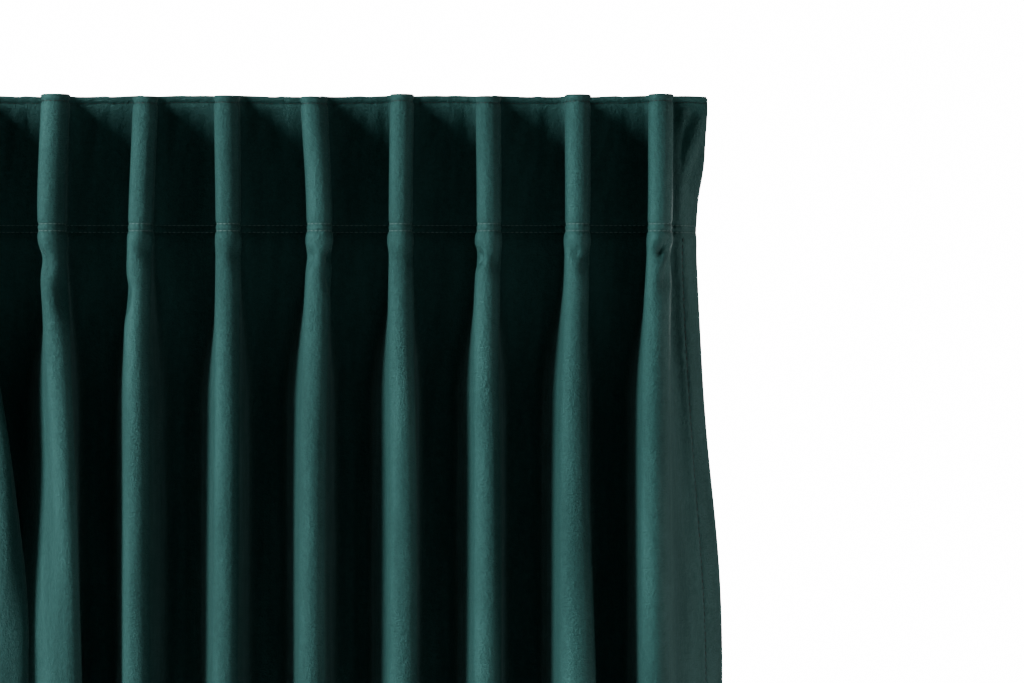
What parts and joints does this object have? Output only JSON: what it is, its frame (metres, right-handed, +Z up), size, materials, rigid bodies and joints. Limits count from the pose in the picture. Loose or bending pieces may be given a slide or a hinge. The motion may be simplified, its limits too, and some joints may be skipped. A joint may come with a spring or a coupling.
{
  "type": "curtain panel",
  "caption": "Pleated velvet curtain panel with single pinch pleats on a pocketed heading tape, hung by plastic hooks that slide up and down to set its height.",
  "frame": {"origin": "underside of the middle hook's bend, where it rests on its glider or ring", "axes": "+Z up, +X to the right seen from the front, the pleats face -Y"},
  "size_m": [0.5134, 0.0634, 2.5],
  "materials": {
    "velvet": "cotton-type velvet, dark bottle green with a blue cast, short dense pile with a pale sheen at grazing angles",
    "heading_tape": "plain woven off-white tape, matt",
    "hook_plastic": "moulded white plastic, satin",
    "thread": "dark green polyester sewing thread"
  },
  "bodies": {
    "right_end": {"pleat_9": "velvet", "tape_pleat_9": "heading_tape", "hook_stem_9": "hook_plastic", "right_flap": "velvet", "right_side_hem": "velvet", "tape_right_end": "heading_tape"},
    "left_end": {"pleat_1": "velvet", "tape_pleat_1": "heading_tape", "hook_stem_1": "hook_plastic", "left_flap": "velvet", "left_side_hem": "velvet", "tape_left_end": "heading_tape", "bay_1": "velvet", "tape_bay_1": "heading_tape"},
    "pleat_column_2": {"pleat_2": "velvet", "tape_pleat_2": "heading_tape", "hook_stem_2": "hook_plastic", "bay_2": "velvet", "tape_bay_2": "heading_tape"},
    "pleat_column_3": {"pleat_3": "velvet", "tape_pleat_3": "heading_tape", "hook_stem_3": "hook_plastic", "bay_3": "velvet", "tape_bay_3": "heading_tape"},
    "pleat_column_4": {"pleat_4": "velvet", "tape_pleat_4": "heading_tape", "hook_stem_4": "hook_plastic", "bay_4": "velvet", "tape_bay_4": "heading_tape"},
    "pleat_column_5": {"pleat_5": "velvet", "tape_pleat_5": "heading_tape", "hook_stem_5": "hook_plastic", "bay_5": "velvet", "tape_bay_5": "heading_tape"},
    "pleat_column_6": {"pleat_6": "velvet", "tape_pleat_6": "heading_tape", "hook_stem_6": "hook_plastic", "bay_6": "velvet", "tape_bay_6": "heading_tape"},
    "pleat_column_7": {"pleat_7": "velvet", "tape_pleat_7": "heading_tape", "hook_stem_7": "hook_plastic", "bay_7": "velvet", "tape_bay_7": "heading_tape"},
    "pleat_column_8": {"pleat_8": "velvet", "tape_pleat_8": "heading_tape", "hook_stem_8": "hook_plastic", "bay_8": "velvet", "tape_bay_8": "heading_tape"},
    "slider_1": {"hook_slider_1": "hook_plastic"},
    "slider_2": {"hook_slider_2": "hook_plastic"},
    "slider_3": {"hook_slider_3": "hook_plastic"},
    "slider_4": {"hook_slider_4": "hook_plastic"},
    "slider_5": {"hook_slider_5": "hook_plastic"},
    "slider_6": {"hook_slider_6": "hook_plastic"},
    "slider_7": {"hook_slider_7": "hook_plastic"},
    "slider_8": {"hook_slider_8": "hook_plastic"},
    "slider_9": {"hook_slider_9": "hook_plastic"}
  },
  "joints": [
    {"name": "panel_draw", "type": "slide", "parent": "right_end", "child": "left_end", "axis": [1, 0, 0], "range_m": [0, 0.18], "deforming": ["bay_1", "tape_bay_1"]},
    {"name": "pleat_2_glide", "type": "slide", "parent": "right_end", "child": "pleat_column_2", "axis": [1, 0, 0], "range_m": [0, 0.1575], "deforming": ["bay_2", "tape_bay_2"]},
    {"name": "pleat_3_glide", "type": "slide", "parent": "right_end", "child": "pleat_column_3", "axis": [1, 0, 0], "range_m": [0, 0.135], "deforming": ["bay_3", "tape_bay_3"]},
    {"name": "pleat_4_glide", "type": "slide", "parent": "right_end", "child": "pleat_column_4", "axis": [1, 0, 0], "range_m": [0, 0.1125], "deforming": ["bay_4", "tape_bay_4"]},
    {"name": "pleat_5_glide", "type": "slide", "parent": "right_end", "child": "pleat_column_5", "axis": [1, 0, 0], "range_m": [0, 0.09], "deforming": ["bay_5", "tape_bay_5"]},
    {"name": "pleat_6_glide", "type": "slide", "parent": "right_end", "child": "pleat_column_6", "axis": [1, 0, 0], "range_m": [0, 0.0675], "deforming": ["bay_6", "tape_bay_6"]},
    {"name": "pleat_7_glide", "type": "slide", "parent": "right_end", "child": "pleat_column_7", "axis": [1, 0, 0], "range_m": [0, 0.045], "deforming": ["bay_7", "tape_bay_7"]},
    {"name": "pleat_8_glide", "type": "slide", "parent": "right_end", "child": "pleat_column_8", "axis": [1, 0, 0], "range_m": [0, 0.0225], "deforming": ["bay_8", "tape_bay_8"]},
    {"name": "hook_1_height", "type": "slide", "parent": "left_end", "child": "slider_1", "axis": [0, 0, 1], "range_m": [-0.02, 0.01]},
    {"name": "hook_2_height", "type": "slide", "parent": "pleat_column_2", "child": "slider_2", "axis": [0, 0, 1], "range_m": [-0.02, 0.01]},
    {"name": "hook_3_height", "type": "slide", "parent": "pleat_column_3", "child": "slider_3", "axis": [0, 0, 1], "range_m": [-0.02, 0.01]},
    {"name": "hook_4_height", "type": "slide", "parent": "pleat_column_4", "child": "slider_4", "axis": [0, 0, 1], "range_m": [-0.02, 0.01]},
    {"name": "hook_5_height", "type": "slide", "parent": "pleat_column_5", "child": "slider_5", "axis": [0, 0, 1], "range_m": [-0.02, 0.01]},
    {"name": "hook_6_height", "type": "slide", "parent": "pleat_column_6", "child": "slider_6", "axis": [0, 0, 1], "range_m": [-0.02, 0.01]},
    {"name": "hook_7_height", "type": "slide", "parent": "pleat_column_7", "child": "slider_7", "axis": [0, 0, 1], "range_m": [-0.02, 0.01]},
    {"name": "hook_8_height", "type": "slide", "parent": "pleat_column_8", "child": "slider_8", "axis": [0, 0, 1], "range_m": [-0.02, 0.01]},
    {"name": "hook_9_height", "type": "slide", "parent": "right_end", "child": "slider_9", "axis": [0, 0, 1], "range_m": [-0.02, 0.01]}
  ],
  "couplings": [
    {"joint": "pleat_2_glide", "follows": "panel_draw", "ratio": 0.875},
    {"joint": "pleat_3_glide", "follows": "panel_draw", "ratio": 0.75},
    {"joint": "pleat_4_glide", "follows": "panel_draw", "ratio": 0.625},
    {"joint": "pleat_5_glide", "follows": "panel_draw", "ratio": 0.5},
    {"joint": "pleat_6_glide", "follows": "panel_draw", "ratio": 0.375},
    {"joint": "pleat_7_glide", "follows": "panel_draw", "ratio": 0.25},
    {"joint": "pleat_8_glide", "follows": "panel_draw", "ratio": 0.125}
  ]
}
